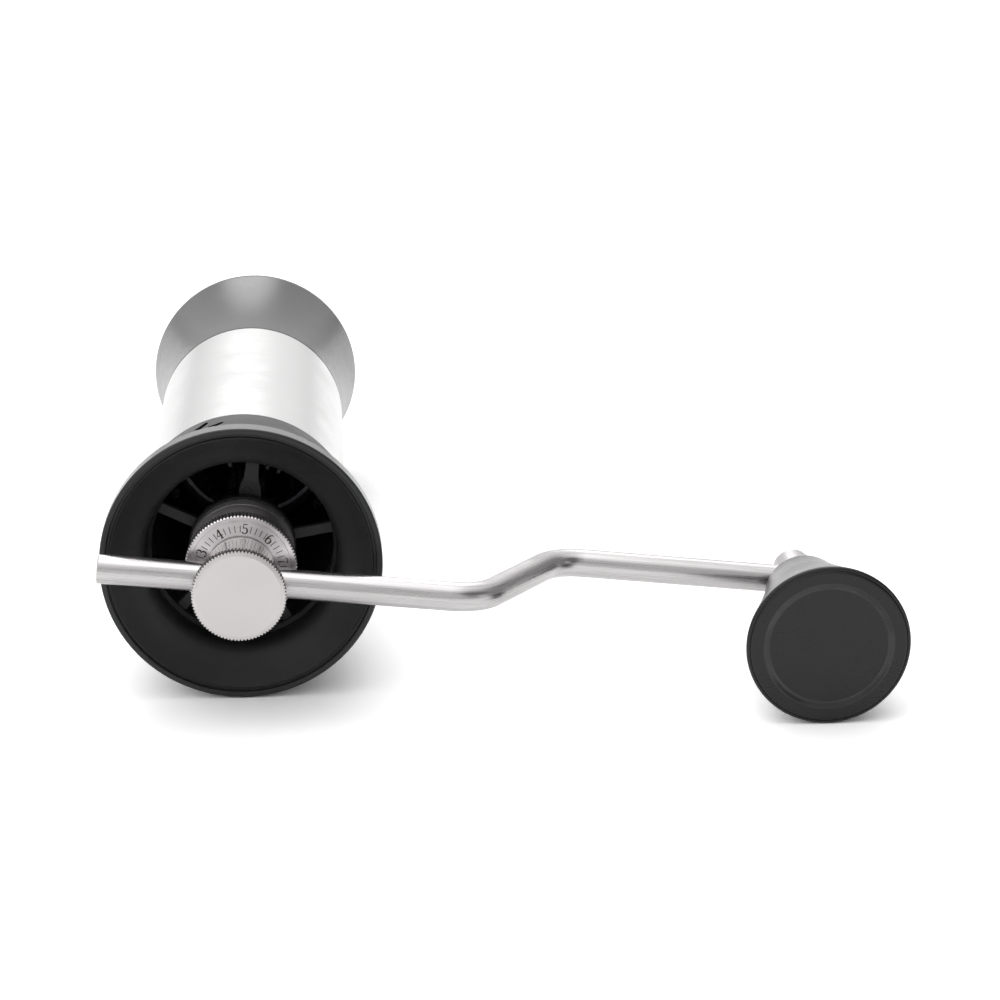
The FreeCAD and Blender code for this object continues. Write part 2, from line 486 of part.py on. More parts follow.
save("burr_washer", ring(2.6, 8.0, 66.45, BURR_Z0 - 0.03))
bolt = revolve([(0, 62.5), (3.9, 62.5), (4.3, 62.9), (4.3, 66.42), (2.48, 66.42), (2.48, 81.6), (2.1, 82.0), (0, 82.0)])
bolt = bolt.cut(Part.Face(Part.makePolygon([V(2.2 * math.cos(math.radians(60 * i)), 2.2 * math.sin(math.radians(60 * i)), 62.0) for i in range(7)])).extrude(V(0, 0, 2.8)))
save("burr_bolt", bolt)

# preload spring: round wire coil between the lower inner ring and the burr
SPR_R, WIRE_R, TURNS, SP_Z0, SP_Z1 = 5.15, 0.55, 3.0, 90.65, 98.35
helix = Part.makeHelix((SP_Z1 - SP_Z0) / TURNS, SP_Z1 - SP_Z0, SPR_R)
helix.translate(V(0, 0, SP_Z0))
wprof = Part.Wire(Part.makeCircle(WIRE_R, V(SPR_R, 0, SP_Z0), V(0, 1, 0)))
spring = Part.Wire(helix.Edges).makePipeShell([wprof], True, True)
save("preload_spring", spring)

# ---------------------------------------------------------------- catch cup, seal ring and foot pad
flare = [(33.7, 2.6)]
for i in range(1, 14):
    t = i / 14.0
    flare.append((TUBE_R + (33.7 - TUBE_R) * (1 - t) ** 1.75, 2.6 + (CUP_SHOULDER - 0.6 - 2.6) * t))
flare.append((TUBE_R, CUP_SHOULDER - 0.6))
cup = revolve_mixed([
    ((32.6, 0.45), (33.25, 0.56), (33.62, 0.95), (FOOT_R, 1.65), (33.7, 2.6)),
    tuple(flare),
    [(TUBE_R, CUP_SHOULDER - 0.6), (TUBE_R - 0.35, CUP_SHOULDER),
     (FIT_R, CUP_SHOULDER), (FIT_R, 57.0), (26.35, 57.0), (26.35, 58.9), (FIT_R, 58.9), (FIT_R, CUP_TOP - 0.8), (FIT_R - 0.6, CUP_TOP),
     (CUP_RI + 0.5, CUP_TOP), (CUP_RI, CUP_TOP - 0.6), (CUP_RI, 9.0)],
    ((CUP_RI, 9.0), (24.95, 7.1), (23.9, 5.5), (22.2, 4.75), (20.6, 4.6)),
    [(20.6, 4.6), (0, 4.6), (0, 1.65), (31.65, 1.65), (31.65, 0.45)]])
save("catch_cup", cup)
save("cup_seal_ring", Part.makeTorus(26.87, 0.52, V(0, 0, 57.95), V(0, 0, 1)))
save("foot_pad", revolve([(0, 0), (31.1, 0), (31.5, 0.4), (31.5, 1.62), (0, 1.62)]))
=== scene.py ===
import json
import math
import bpy
import bmesh
from mathutils import Vector, Matrix


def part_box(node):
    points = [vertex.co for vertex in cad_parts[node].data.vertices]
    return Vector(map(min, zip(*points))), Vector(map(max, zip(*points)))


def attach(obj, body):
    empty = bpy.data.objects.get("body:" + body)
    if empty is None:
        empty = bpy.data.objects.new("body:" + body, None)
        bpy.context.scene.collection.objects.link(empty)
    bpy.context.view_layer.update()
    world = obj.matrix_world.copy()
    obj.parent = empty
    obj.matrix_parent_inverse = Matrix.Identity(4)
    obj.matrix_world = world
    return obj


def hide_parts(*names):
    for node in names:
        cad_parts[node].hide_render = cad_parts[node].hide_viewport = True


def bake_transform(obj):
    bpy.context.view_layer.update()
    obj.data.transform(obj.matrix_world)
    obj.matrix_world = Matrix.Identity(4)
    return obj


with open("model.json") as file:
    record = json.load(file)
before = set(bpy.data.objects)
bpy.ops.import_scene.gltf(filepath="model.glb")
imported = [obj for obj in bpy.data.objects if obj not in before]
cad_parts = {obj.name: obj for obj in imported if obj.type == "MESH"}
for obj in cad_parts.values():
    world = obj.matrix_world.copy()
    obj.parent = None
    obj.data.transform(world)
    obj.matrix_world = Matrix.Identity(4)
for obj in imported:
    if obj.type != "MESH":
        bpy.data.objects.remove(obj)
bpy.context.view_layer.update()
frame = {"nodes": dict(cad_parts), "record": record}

NODES = frame["nodes"]
MM = 0.001


# ------------------------------------------------------------------ node helpers
class Mat:
    """A procedural material on object coordinates in millimetres."""

    def __init__(self, name):
        self.m = bpy.data.materials.new(name)
        self.m.use_nodes = True
        self.nt = self.m.node_tree
        self.nt.nodes.clear()
        self.out = self.nt.nodes.new("ShaderNodeOutputMaterial")
        self.b = self.nt.nodes.new("ShaderNodeBsdfPrincipled")
        self.link(self.b.outputs[0], self.out.inputs["Surface"])
        tc = self.nt.nodes.new("ShaderNodeTexCoord")
        self.vec = self.vmath("SCALE", tc.outputs["Object"], scale=1000.0)
        self._bump = None

    def link(self, a, b):
        self.nt.links.new(a, b)

    def put(self, sock, v):
        if isinstance(v, bpy.types.NodeSocket):
            self.link(v, sock)
        else:
            sock.default_value = v

    def vmath(self, op, a, b=None, scale=None):
        n = self.nt.nodes.new("ShaderNodeVectorMath")
        n.operation = op
        self.put(n.inputs[0], a)
        if b is not None:
            self.put(n.inputs[1], b)
        if scale is not None:
            n.inputs["Scale"].default_value = scale
        return n.outputs["Value"] if op == "LENGTH" else n.outputs["Vector"]

    def math(self, op, a, b=0.0, c=0.0, clamp=False):
        n = self.nt.nodes.new("ShaderNodeMath")
        n.operation = op
        n.use_clamp = clamp
        self.put(n.inputs[0], a)
        self.put(n.inputs[1], b)
        self.put(n.inputs[2], c)
        return n.outputs[0]

    def xyz(self, v=None):
        n = self.nt.nodes.new("ShaderNodeSeparateXYZ")
        self.put(n.inputs[0], self.vec if v is None else v)
        return n.outputs[0], n.outputs[1], n.outputs[2]

    def combine(self, x, y, z):
        n = self.nt.nodes.new("ShaderNodeCombineXYZ")
        self.put(n.inputs[0], x)
        self.put(n.inputs[1], y)
        self.put(n.inputs[2], z)
        return n.outputs[0]

    def polar(self, cx=0.0):
        x, y, z = self.xyz()
        if cx:
            x = self.math("SUBTRACT", x, cx)
        r = self.math("SQRT", self.math("ADD", self.math("MULTIPLY", x, x), self.math("MULTIPLY", y, y)))
        return r, self.math("ARCTAN2", y, x), z

    def noise(self, v, scale, detail=3.0, rough=0.55, distort=0.0):
        n = self.nt.nodes.new("ShaderNodeTexNoise")
        self.put(n.inputs["Vector"], v)
        n.inputs["Scale"].default_value = scale
        n.inputs["Detail"].default_value = detail
        n.inputs["Roughness"].default_value = rough
        n.inputs["Distortion"].default_value = distort
        return n.outputs["Fac"]

    def voronoi(self, v, scale):
        n = self.nt.nodes.new("ShaderNodeTexVoronoi")
        self.put(n.inputs["Vector"], v)
        n.inputs["Scale"].default_value = scale
        return n.outputs["Distance"]

    def remap(self, f, a, b, lo=0.0, hi=1.0):
        n = self.nt.nodes.new("ShaderNodeMapRange")
        self.put(n.inputs["Value"], f)
        n.inputs["From Min"].default_value = lo
        n.inputs["From Max"].default_value = hi
        n.inputs["To Min"].default_value = a
        n.inputs["To Max"].default_value = b
        return n.outputs["Result"]

    def mix(self, f, a, b):
        n = self.nt.nodes.new("ShaderNodeMix")
        n.data_type = "RGBA"
        self.put(n.inputs["Factor"], f)
        for s, v in ((n.inputs[6], a), (n.inputs[7], b)):
            self.put(s, v if isinstance(v, bpy.types.NodeSocket) else (v[0], v[1], v[2], 1.0))
        return n.outputs[2]

    def bump(self, height, strength, mm):
        n = self.nt.nodes.new("ShaderNodeBump")
        n.inputs["Strength"].default_value = strength
        n.inputs["Distance"].default_value = mm * MM
        self.link(height, n.inputs["Height"])
        if self._bump is not None:
            self.link(self._bump, n.inputs["Normal"])
        self._bump = n.outputs["Normal"]
        self.link(self._bump, self.b.inputs["Normal"])

    def set(self, **kw):
        for k, v in kw.items():
            name = k.replace("_", " ")
            s = self.b.inputs[name]
            if isinstance(v, bpy.types.NodeSocket):
                self.link(v, s)
            elif isinstance(v, (tuple, list)):
                s.default_value = (v[0], v[1], v[2], 1.0)
            else:
                s.default_value = v
        return self

    def radial_tangent(self):
        t = self.nt.nodes.new("ShaderNodeTangent")
        t.direction_type = "RADIAL"
        t.axis = "Z"
        self.link(t.outputs[0], self.b.inputs["Tangent"])


def turned_metal(name, colour, rough, aniso, ring=1.0, lines=22.0, cx=0.0, tint=0.07, wall=None):
    """Metal with lathe marks: fine rings on faces, fine hoops on walls; wall is (z limit, roughness, tone) below a
    face, then (z limit, tone) lower down, where each tone factor darkens the wall's colour as painted shade.
    """
    m = Mat(name)
    r, th, z = m.polar(cx)
    hoop = m.noise(m.combine(m.math("MULTIPLY", r, lines), m.math("MULTIPLY", th, 1.1), m.math("MULTIPLY", z, lines)), 1.0, 4.0, 0.62)
    broad = m.noise(m.combine(m.math("MULTIPLY", r, 2.2), m.math("MULTIPLY", th, 0.5), m.math("MULTIPLY", z, 1.8)), 1.0, 2.0)
    smear = m.noise(m.vec, 0.09, 3.0)
    f = m.math("ADD", m.math("MULTIPLY", hoop, 0.6), m.math("MULTIPLY", broad, 0.4))
    lo = tuple(c * (1 - tint) for c in colour)
    hi = tuple(min(1.0, c * (1 + tint)) for c in colour)
    base = m.remap(f, rough * 0.85, rough * 1.18, 0.3, 0.7)
    tone = m.mix(m.remap(f, 0, 1, 0.3, 0.7), lo, hi)
    # Below the face the colour is scaled by wall's tone factors: painted shade on the side walls.
    if wall is not None:
        below = m.math("LESS_THAN", z, wall[0])
        base = m.math("ADD", base, m.math("MULTIPLY", below, wall[1] - rough))
        tone = m.mix(below, tone, m.mix(m.remap(f, 0, 1, 0.3, 0.7), tuple(c * wall[2] for c in lo), tuple(c * wall[2] for c in hi)))
        if len(wall) > 3:
            lower = m.math("LESS_THAN", z, wall[3])
            tone = m.mix(lower, tone, m.mix(m.remap(f, 0, 1, 0.3, 0.7), tuple(c * wall[4] for c in lo), tuple(c * wall[4] for c in hi)))
    m.set(Base_Color=tone, Metallic=1.0,
          Roughness=m.math("ADD", base, m.remap(smear, -0.02, 0.03, 0.3, 0.7)),
          Anisotropic=aniso)
    m.b.inputs["Anisotropic Rotation"].default_value = 0.25
    m.radial_tangent()
    m.bump(hoop, 0.10 * ring, 0.012)
    return m


def moulded(name, colour, rough, grain=3.2, depth=0.10, spec=0.5, tint=0.16, coat=0.0):
    """Injection moulded plastic: fine eroded texture, flow mottling, faint handling marks."""
    m = Mat(name)
    fine = m.noise(m.vec, grain, 3.0, 0.6)
    cells = m.voronoi(m.vec, grain * 0.8)
    mottle = m.noise(m.vec, 0.06, 3.0, 0.5, 0.6)
    marks = m.noise(m.vmath("MULTIPLY", m.vec, (0.5, 2.6, 0.22)), 0.9, 4.0, 0.7)
    lo = tuple(c * (1 - tint) for c in colour)
    hi = tuple(c * (1 + tint) for c in colour)
    f = m.math("ADD", m.math("MULTIPLY", mottle, 0.65), m.math("MULTIPLY", fine, 0.35))
    m.set(Base_Color=m.mix(m.remap(f, 0, 1, 0.32, 0.68), lo, hi), Metallic=0.0,
          Roughness=m.math("ADD", m.remap(mottle, rough * 0.92, rough * 1.1, 0.3, 0.7), m.remap(marks, -0.035, 0.03, 0.3, 0.7)))
    m.b.inputs["Specular IOR Level"].default_value = spec
    if coat:
        m.b.inputs["Coat Weight"].default_value = coat
        m.b.inputs["Coat Roughness"].default_value = 0.28
    m.bump(m.math("ADD", fine, m.math("MULTIPLY", cells, 0.4)), depth, 0.02)
    return m


def polished_band(m):
    """Clear gloss on the upright band round the funnel rim."""
    r, th, z = m.polar()
    on = m.math("MULTIPLY", m.math("GREATER_THAN", z, 199.65), m.math("LESS_THAN", z, 204.35))
    on = m.math("MULTIPLY", on, m.math("GREATER_THAN", r, 38.6))
    m.set(Coat_Weight=m.math("MULTIPLY", on, m.remap(m.noise(m.vec, 0.25, 2.0), 0.85, 1.0)))
    m.b.inputs["Coat IOR"].default_value = 2.1
    m.b.inputs["Coat Roughness"].default_value = 0.16


def knob_wear(m):
    """Skin polished by the hand on the side of the knob and on the step round its face."""
    r, th, z = m.polar(159.2)
    side = m.math("LESS_THAN", z, 232.9)
    step = m.math("MULTIPLY", m.math("GREATER_THAN", r, 16.1), m.math("LESS_THAN", r, 17.9))
    step = m.math("MULTIPLY", step, m.math("GREATER_THAN", z, 232.9))
    patch = m.remap(m.noise(m.vec, 0.10, 3.0), 0.35, 1.0, 0.35, 0.65)
    m.set(Coat_Weight=m.math("MULTIPLY", m.math("MAXIMUM", m.math("MULTIPLY", side, 0.55), m.math("MULTIPLY", step, 0.5)), patch))
    m.b.inputs["Coat IOR"].default_value = 1.6
    m.b.inputs["Coat Roughness"].default_value = 0.22


M = {}
M["brushed_tube"] = turned_metal("brushed_tube", (0.845, 0.845, 0.84), 0.20, 0.60, 0.8, 16.0, tint=0.035)
# Dial: the knurled wall is darkened to 0.26 and the drum below it to 0.62 of the face colour, as painted shade.
M["turned_dial"] = turned_metal("turned_dial", (0.86, 0.823, 0.836), 0.30, 0.88, 1.2, 14.0, tint=0.07, wall=(208.05, 0.34, 0.26, 204.1, 0.62))
# Nut: the knurled side wall is darkened to 0.55 of the face colour, as painted shade in the knurl gaps.
M["turned_nut"] = turned_metal("turned_nut", (0.655, 0.629, 0.622), 0.46, 0.12, 0.6, 9.0, tint=0.03, wall=(230.4, 0.30, 0.55))
M["bright_steel"] = turned_metal("bright_steel", (0.84, 0.815, 0.815), 0.22, 0.80, 1.0, 18.0, tint=0.10)
# The rod-end boss gets its own steel with lathe rings centred on the knob axis; its colour is lowered to 0.60 as
# painted shade, so the boss does not read as bare white.
BOSS_PAINTED_SHADE = turned_metal("boss_steel_painted_shade", (0.60, 0.583, 0.585), 0.26, 0.45, 0.9, 14.0, cx=159.2, tint=0.08)
M["bearing_steel"] = turned_metal("bearing_steel", (0.80, 0.80, 0.81), 0.12, 0.35, 0.5, 24.0, tint=0.04)
M["burr_steel"] = turned_metal("burr_steel", (0.44, 0.44, 0.45), 0.34, 0.3, 1.5, 7.0, tint=0.14)
M["spring_steel"] = turned_metal("spring_steel", (0.36, 0.36, 0.385), 0.33, 0.2, 1.0, 12.0, tint=0.12)
M["cast_aluminium"] = turned_metal("cast_aluminium", (0.040, 0.040, 0.042), 0.52, 0.15, 1.0, 6.0, tint=0.12)
M["bronze"] = turned_metal("bronze", (0.62, 0.42, 0.22), 0.40, 0.2, 1.5, 9.0, tint=0.14)
M["black_plastic"] = moulded("black_plastic", (0.017, 0.017, 0.018), 0.44, 3.0, 0.10, spec=0.42)
polished_band(M["black_plastic"])
M["foot_plastic"] = moulded("foot_plastic", (0.034, 0.034, 0.0345), 0.21, 3.6, 0.05, spec=0.78)
M["knob_plastic"] = moulded("knob_plastic", (0.012, 0.012, 0.0125), 0.30, 3.4, 0.07, spec=0.36)
knob_wear(M["knob_plastic"])
M["rubber"] = moulded("rubber", (0.022, 0.022, 0.022), 0.78, 2.2, 0.2, spec=0.35)


def rod_material():
    """Drawn bar: long fine lines along the bar, a few deeper scratches."""
    m = Mat("rod_steel")
    long_ = m.vmath("MULTIPLY", m.vec, (0.035, 3.0, 0.06))
    a = m.noise(long_, 1.6, 4.0, 0.6)
    b = m.noise(m.vmath("MULTIPLY", m.vec, (0.012, 1.1, 0.03)), 1.0, 2.0)
    f = m.math("ADD", m.math("MULTIPLY", a, 0.55), m.math("MULTIPLY", b, 0.45))
    m.set(Base_Color=m.mix(m.remap(f, 0, 1, 0.34, 0.66), (0.47, 0.454, 0.455), (0.70, 0.681, 0.686)), Metallic=1.0,
          Roughness=m.remap(f, 0.22, 0.34, 0.3, 0.7))
    m.bump(a, 0.08, 0.02)
    return m


def oxide_material():
    """Black oxide screws: dark with worn grey highs."""
    m = Mat("dark_fastener")
    n = m.noise(m.vec, 1.4, 4.0)
    m.set(Base_Color=m.mix(m.remap(n, 0, 1, 0.4, 0.7), (0.022, 0.022, 0.024), (0.075, 0.073, 0.072)), Metallic=0.7,
          Roughness=m.remap(n, 0.36, 0.52, 0.3, 0.7))
    m.bump(n, 0.15, 0.02)
    return m


def ink_material():
    """Paint rubbed into engraving: nearly black, a little uneven."""
    m = Mat("engraving_fill")
    n = m.noise(m.vec, 3.0, 3.0)
    m.set(Base_Color=m.mix(m.remap(n, 0, 1, 0.35, 0.65), (0.020, 0.018, 0.017), (0.060, 0.055, 0.052)), Metallic=0.0,
          Roughness=m.remap(n, 0.45, 0.65, 0.3, 0.7))
    m.bump(n, 0.2, 0.02)
    return m


M["rod_steel"] = rod_material()
M["dark_fastener"] = oxide_material()
INK = ink_material().m

LINER = moulded("hopper_liner_matte", (0.034, 0.034, 0.035), 0.88, 1.6, 0.3, spec=0.12)
# The lower bearing bracket, deep in the hopper, is made near black as painted shade; it is also rough with little
# specular.
BRACKET_PAINTED_SHADE = moulded("bracket_matte_painted_shade", (0.0055, 0.0055, 0.0058), 0.80, 1.6, 0.3, spec=0.10)

slot_of = {s["node"]: s["material_slot"] for s in frame["record"]["subparts"]}
# Overrides: the liner is a rough, low-specular black; the bracket's near-black colour and the boss's darker steel are
# painted shade.
for name, o in NODES.items():
    o.data.materials.clear()
    o.data.materials.append({"hopper_liner": LINER, "lower_bearing_bracket": BRACKET_PAINTED_SHADE, "knob_boss": BOSS_PAINTED_SHADE}.get(name, M[slot_of[name]]).m)


# ------------------------------------------------------------------ mesh helpers
def add_mesh(name, verts, faces, mat, body, auto=35.0):
    me = bpy.data.meshes.new(name)
    me.from_pydata([tuple(c * MM for c in v) for v in verts], [], faces)
    me.validate()
    bm = bmesh.new()
    bm.from_mesh(me)
    bmesh.ops.recalc_face_normals(bm, faces=bm.faces)
    for f in bm.faces:
        f.smooth = True
    for e in bm.edges:
        if len(e.link_faces) == 2 and e.calc_face_angle(0.0) > math.radians(auto):
            e.smooth = False
    bm.to_mesh(me)
    bm.free()
    me.materials.append(mat)
    o = bpy.data.objects.new(name, me)
    bpy.context.scene.collection.objects.link(o)
    if body is not None:
        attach(o, body)
    return o


# ------------------------------------------------------------------ dial numbers
# Each digit is drawn in a 1.8 x 2.8 mm cell as strokes: points with half-widths, thick
# on the verticals and thin on the turns, with short slab serifs.
def arc(cx, cy, rx, ry, a0, a1, n, w0, w1=None):
    """Arc of an ellipse in degrees; half-width runs thin at top and bottom, thick at the sides."""
    out = []
    for i in range(n + 1):
        a = math.radians(a0 + (a1 - a0) * i / n)
        w = w0 if w1 is None else w0 + (w1 - w0) * abs(math.cos(a)) ** 1.3
        out.append((cx + rx * math.cos(a), cy + ry * math.sin(a), w))
    return out


T, K = 0.105, 0.235    # thin and thick half-widths in mm
DIGITS = {
    0: [arc(0, 1.4, 0.68, 1.28, 90, 450, 36, T, K)],
    1: [[(0.05, 0.12, K), (0.05, 2.55, K)], [(-0.45, 2.22, T), (-0.2, 2.32, T), (0.12, 2.66, T)], [(-0.42, 0.10, T), (0.52, 0.10, T)]],
    2: [arc(-0.02, 2.02, 0.62, 0.66, 165, -25, 20, T, K) + [(0.30, 1.42, 0.15), (-0.15, 0.82, 0.11), (-0.62, 0.20, T)],
        [(-0.66, 0.16, 0.13), (0.62, 0.16, 0.13)], [(0.62, 0.12, T), (0.70, 0.62, T)]],
    3: [arc(-0.08, 2.08, 0.56, 0.60, 150, -80, 20, T, K), arc(-0.10, 0.80, 0.70, 0.70, 88, -150, 24, T, K + 0.01)],
    4: [[(0.28, 0.10, K), (0.28, 2.68, K)], [(0.20, 2.60, T), (-0.74, 0.92, T)], [(-0.76, 0.90, T), (0.78, 0.90, T)], [(-0.12, 0.10, T), (0.66, 0.10, T)]],
    5: [[(-0.46, 2.62, 0.13), (0.52, 2.62, 0.13)], [(-0.44, 2.66, T), (-0.50, 1.48, T)], [(-0.50, 1.46, T), (-0.34, 1.60, T)] + arc(-0.06, 0.90, 0.66, 0.78, 112, -152, 28, T, K)],
    6: [arc(0.0, 0.84, 0.64, 0.74, 90, 450, 32, T, K), arc(0.16, 1.22, 0.80, 1.46, 188, 78, 18, T, K - 0.02)],
    7: [[(-0.62, 2.58, 0.13), (0.66, 2.58, 0.13)], [(-0.62, 2.62, T), (-0.68, 2.08, T)], [(0.64, 2.52, T), (0.28, 1.72, 0.11), (0.02, 0.92, 0.16), (-0.08, 0.10, 0.19)]],
    8: [arc(0, 2.08, 0.52, 0.58, 90, 450, 30, T, K - 0.02), arc(0, 0.78, 0.66, 0.70, 90, 450, 32, T, K)],
    9: [arc(0.0, 1.96, 0.64, 0.74, 90, 450, 32, T, K), arc(-0.16, 1.58, 0.80, 1.46, 8, -102, 18, T, K - 0.02)],
}


def stroke(points, z0, z1):
    """Closed ribbon along points (x, y, half-width), from z0 up to z1."""
    p = [(a, b, c) for a, b, c in points]
    closed = math.hypot(p[0][0] - p[-1][0], p[0][1] - p[-1][1]) < 1e-6
    if closed:
        p = p[:-1]
    n = len(p)
    left, right = [], []
    for i, (x, y, w) in enumerate(p):
        if closed:
            a, b = p[i - 1], p[(i + 1) % n]
        else:
            a, b = p[max(i - 1, 0)], p[min(i + 1, n - 1)]
        dx, dy = b[0] - a[0], b[1] - a[1]
        d = math.hypot(dx, dy) or 1.0
        nx, ny = -dy / d, dx / d
        left.append((x + nx * w, y + ny * w))
        right.append((x - nx * w, y - ny * w))
    verts, faces = [], []
    for (lx, ly), (rx, ry) in zip(left, right):
        verts += [(lx, ly, z0), (lx, ly, z1), (rx, ry, z1), (rx, ry, z0)]
    count = n if closed else n - 1
    for i in range(count):
        a, b = 4 * i, 4 * ((i + 1) % n)
        for k in range(4):
            faces.append((a + k, a + (k + 1) % 4, b + (k + 1) % 4, b + k))
    if not closed:
        faces.append((0, 1, 2, 3))
        e = 4 * (n - 1)
        faces.append((e + 3, e + 2, e + 1, e))
    return verts, faces


dial_low, dial_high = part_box("adjustment_dial")
DIAL_Z = dial_high.z * 1000.0
verts, faces = [], []
ARM0 = 88.7
for d, strokes in DIGITS.items():
    ang = math.radians(ARM0 + 36.0 * (5 - d))
    ur = (math.cos(ang), math.sin(ang))            # outwards, the digit's up
    ut = (math.sin(ang), -math.cos(ang))           # to the digit's right
    for s in strokes:
        v, f = stroke(s, DIAL_Z - 0.06, DIAL_Z + 0.012)
        base = len(verts)
        for x, y, z in v:
            r = 10.2 + y * 1.07
            verts.append((ur[0] * r + ut[0] * x * 1.04, ur[1] * r + ut[1] * x * 1.04, z))
        faces += [tuple(i + base for i in q) for q in f]
numbers = add_mesh("dial_numbers", verts, faces, INK, "dial")

# paint in the bottom of the division lines, which are 0.14 mm deep
verts, faces = [], []
for i in range(50):
    if i % 5 == 0:
        continue
    a = math.radians(88.0 + 7.2 * i)
    ur, ut = (math.cos(a), math.sin(a)), (-math.sin(a), math.cos(a))
    base = len(verts)
    for r, t, z in ((10.62, -0.105, -0.16), (12.58, -0.105, -0.16), (12.58, 0.105, -0.16), (10.62, 0.105, -0.16),
                    (10.62, -0.105, -0.03), (12.58, -0.105, -0.03), (12.58, 0.105, -0.03), (10.62, 0.105, -0.03)):
        verts.append((ur[0] * r + ut[0] * t, ur[1] * r + ut[1] * t, DIAL_Z + z))
    faces += [tuple(base + k for k in q) for q in ((0, 3, 2, 1), (4, 5, 6, 7), (0, 1, 5, 4), (1, 2, 6, 5), (2, 3, 7, 6), (3, 0, 4, 7))]
add_mesh("dial_division_fill", verts, faces, INK, "dial")


# ------------------------------------------------------------------ preload spring
# On the grinder the coil shortens as the shaft rises, its foot going with the burr and its top staying on the ring;
# here it is built once in place of the CAD spring, not attached to a body, so it does not shorten.
SPR_R, WIRE_R, TURNS, SPR_Z0, SPR_Z1 = 5.15, 0.55, 3.0, 90.65, 98.35
verts, faces = [], []
steps, sides = 216, 16
pitch = (SPR_Z1 - SPR_Z0) / TURNS
for i in range(steps + 1):
    t = 2 * math.pi * TURNS * i / steps
    out = Vector((math.cos(t), math.sin(t), 0.0))
    along = Vector((-SPR_R * math.sin(t), SPR_R * math.cos(t), pitch / (2 * math.pi))).normalized()
    side = along.cross(out).normalized()
    c = out * SPR_R + Vector((0, 0, SPR_Z0 + pitch * t / (2 * math.pi)))
    for j in range(sides):
        a = 2 * math.pi * j / sides
        verts.append(tuple(c + out * (WIRE_R * math.cos(a)) + side * (WIRE_R * math.sin(a))))
for i in range(steps):
    for j in range(sides):
        a, b = i * sides + j, i * sides + (j + 1) % sides
        faces.append((a, b, b + sides, a + sides))
faces.append(tuple(reversed(range(sides))))
faces.append(tuple(range(steps * sides, (steps + 1) * sides)))
coil = add_mesh("preload_coil", verts, faces, M[slot_of["preload_spring"]].m, None)
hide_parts("preload_spring")
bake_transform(coil)


# ------------------------------------------------------------------ floor, light, camera
UP = Vector((-0.10833518, 0.99380328, 0.02487035))
BASE_FRONT, BASE_BACK, SIDE_RIGHT, TOP, UPPER_LEFT, BACK_BOX = 0.67, 0.94, 0.30, 1.10, 1.75, 3.3


def stage_floor():
    c = Vector((4.21, -38.60, 204.03)) * MM - UP * 0.0002
    tx = UP.orthogonal().normalized()
    ty = UP.cross(tx).normalized()
    s, n = 6.0, 12
    vs, fs = [], []
    for i in range(n + 1):
        for j in range(n + 1):
            vs.append(c + tx * (2 * s * i / n - s) + ty * (2 * s * j / n - s))
    for i in range(n):
        for j in range(n):
            a = i * (n + 1) + j
            fs.append((a, a + n + 1, a + n + 2, a + 1))
    me = bpy.data.meshes.new("stage_floor")
    me.from_pydata(vs, [], fs)
    o = bpy.data.objects.new("stage_floor", me)
    bpy.context.scene.collection.objects.link(o)
    me.update()
    if me.polygons[0].normal.dot(UP) < 0:
        me.flip_normals()
    m = bpy.data.materials.new("stage_floor")
    m.use_nodes = True
    nt = m.node_tree
    nt.nodes.clear()
    out = nt.nodes.new("ShaderNodeOutputMaterial")
    seen = nt.nodes.new("ShaderNodeBsdfDiffuse")
    seen.inputs["Color"].default_value = (FLOOR_SEEN, FLOOR_SEEN, FLOOR_SEEN, 1)
    other = nt.nodes.new("ShaderNodeBsdfDiffuse")
    other.inputs["Color"].default_value = (0.93, 0.93, 0.93, 1)
    path = nt.nodes.new("ShaderNodeLightPath")
    two = nt.nodes.new("ShaderNodeMixShader")
    nt.links.new(path.outputs["Is Camera Ray"], two.inputs[0])
    nt.links.new(other.outputs[0], two.inputs[1])
    nt.links.new(seen.outputs[0], two.inputs[2])
    tr = nt.nodes.new("ShaderNodeBsdfTransparent")
    geo = nt.nodes.new("ShaderNodeNewGeometry")
    mx = nt.nodes.new("ShaderNodeMixShader")
    nt.links.new(geo.outputs["Backfacing"], mx.inputs[0])
    nt.links.new(two.outputs[0], mx.inputs[1])
    nt.links.new(tr.outputs[0], mx.inputs[2])
    nt.links.new(mx.outputs[0], out.inputs["Surface"])
    me.materials.append(m)


FLOOR_SEEN = 1.27
stage_floor()


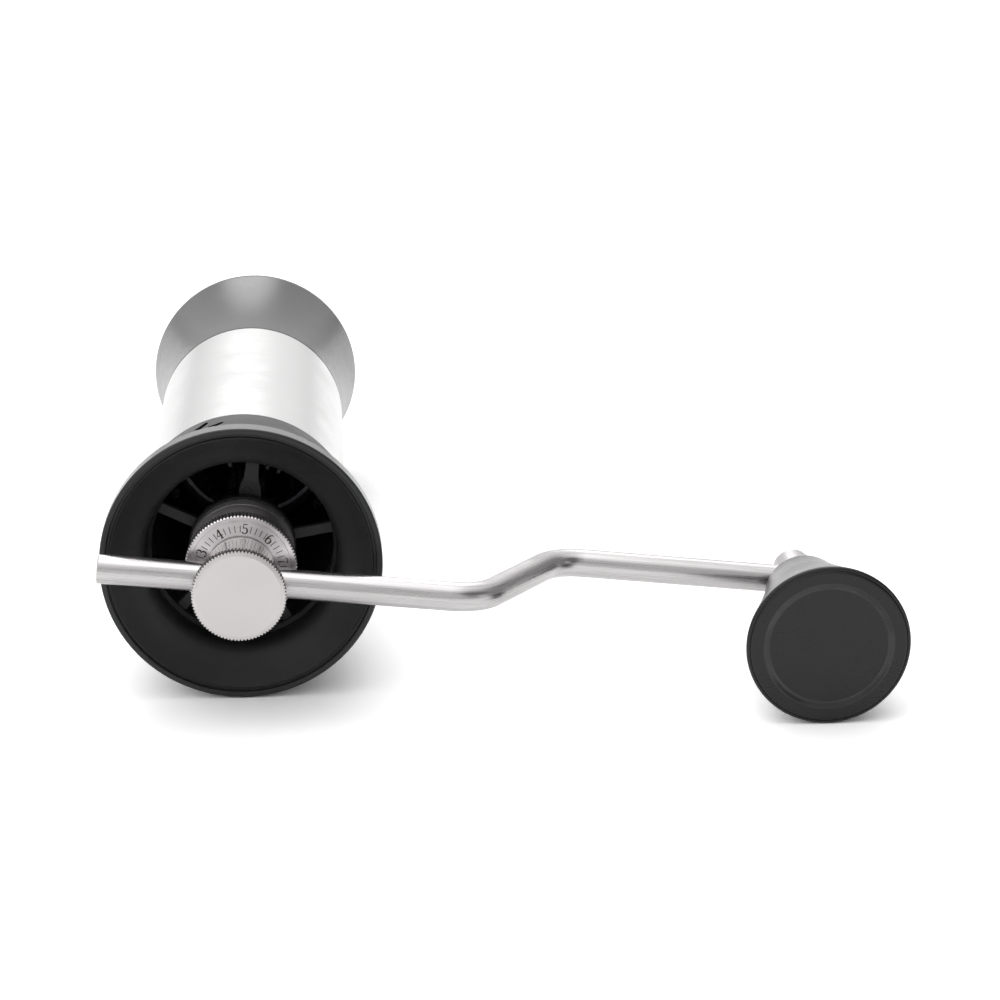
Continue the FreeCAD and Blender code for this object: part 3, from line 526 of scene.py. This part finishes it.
class Studio:
    """Plain white backdrop for the camera; for all other rays a soft studio drawn by direction."""

    def __init__(self):
        w = bpy.data.worlds.new("studio")
        bpy.context.scene.world = w
        w.use_nodes = True
        self.nt = w.node_tree
        self.nt.nodes.clear()
        tc = self.nt.nodes.new("ShaderNodeTexCoord")
        n = self.nt.nodes.new("ShaderNodeVectorMath")
        n.operation = "NORMALIZE"
        self.nt.links.new(tc.outputs["Generated"], n.inputs[0])
        self.d = n.outputs[0]

    def put(self, sock, v):
        if isinstance(v, bpy.types.NodeSocket):
            self.nt.links.new(v, sock)
        else:
            sock.default_value = v

    def math(self, op, a, b=0.0):
        n = self.nt.nodes.new("ShaderNodeMath")
        n.operation = op
        self.put(n.inputs[0], a)
        self.put(n.inputs[1], b)
        return n.outputs[0]

    def along(self, v):
        v = Vector(v).normalized()
        n = self.nt.nodes.new("ShaderNodeVectorMath")
        n.operation = "DOT_PRODUCT"
        self.put(n.inputs[0], self.d)
        n.inputs[1].default_value = v
        return n.outputs["Value"]

    def step(self, f, lo, hi):
        n = self.nt.nodes.new("ShaderNodeMapRange")
        n.interpolation_type = "SMOOTHSTEP"
        self.put(n.inputs["Value"], f)
        n.inputs["From Min"].default_value = lo
        n.inputs["From Max"].default_value = hi
        return n.outputs["Result"]

    def mix(self, w, a, b):
        n = self.nt.nodes.new("ShaderNodeMix")
        n.data_type = "FLOAT"
        self.put(n.inputs[0], w)
        self.put(n.inputs[2], a)
        self.put(n.inputs[3], b)
        return n.outputs[0]

    def cone(self, v, half, soft, level, base):
        """Round soft light about a direction; half angle and softness in degrees."""
        c0, c1 = math.cos(math.radians(half + soft)), math.cos(math.radians(max(half - soft, 0.0)))
        return self.mix(self.step(self.along(v), c0, c1), base, level)


S = Studio()
behind = S.step(S.along((0, 0, -1)), -0.15, 0.45)
level = S.mix(behind, BASE_FRONT, BASE_BACK)
level = S.mix(S.step(S.along((1, 0, 0)), 0.40, 0.75), level, SIDE_RIGHT)
level = S.mix(S.step(S.along(UP), 0.55, 0.95), level, TOP)
level = S.cone((-0.72, 0.62, 0.30), 24, 10, UPPER_LEFT, level)
low_band = S.mix(S.step(S.along(UP), 0.02, 0.14), 0.68, 1.0)
level = S.math("MULTIPLY", level, S.mix(behind, 1.0, low_band))
level = S.cone((-0.14, 0.70, -0.70), 18, 5, BACK_BOX, level)
level = S.cone((0.60, 0.60, 0.53), 21, 6, 0.12, level)
level = S.cone((0.84, 0.26, 0.48), 9, 4, 0.9, level)
path = S.nt.nodes.new("ShaderNodeLightPath")
level = S.mix(path.outputs["Is Camera Ray"], level, 1.0)
bg = S.nt.nodes.new("ShaderNodeBackground")
bg.inputs["Color"].default_value = (1, 1, 1, 1)
S.nt.links.new(level, bg.inputs["Strength"])
wo = S.nt.nodes.new("ShaderNodeOutputWorld")
S.nt.links.new(bg.outputs[0], wo.inputs["Surface"])


def softbox(name, at, size, power, towards=(0.02, 0.0, 0.12)):
    l = bpy.data.lights.new(name, "AREA")
    l.shape = "RECTANGLE"
    l.size, l.size_y = size
    l.energy = power
    o = bpy.data.objects.new(name, l)
    bpy.context.scene.collection.objects.link(o)
    o.location = at
    o.rotation_euler = (Vector(towards) - Vector(at)).to_track_quat("-Z", "Y").to_euler()
    return o


softbox("softbox_top", (-0.15, 1.1, 0.25), (0.9, 0.9), 2.0)

cam = bpy.data.cameras.new("camera")
cam.sensor_width = 36.0
cam.lens = 107.294
cam.clip_start, cam.clip_end = 0.05, 50.0
co = bpy.data.objects.new("camera", cam)
bpy.context.scene.collection.objects.link(co)
R, U, B = Vector((0.99300991, 0.10256545, 0.05840935)), Vector((-0.0804686, 0.95031806, -0.30069985)), Vector((-0.08634887, 0.29389781, 0.95192854))
co.matrix_world = Matrix(((R.x, U.x, B.x, -0.00152619995), (R.y, U.y, B.y, 0.26458388098), (R.z, U.z, B.z, 0.9819708765), (0, 0, 0, 1)))
bpy.context.scene.camera = co
bpy.context.scene.view_settings.view_transform = "Standard"

bpy.context.view_layer.update()
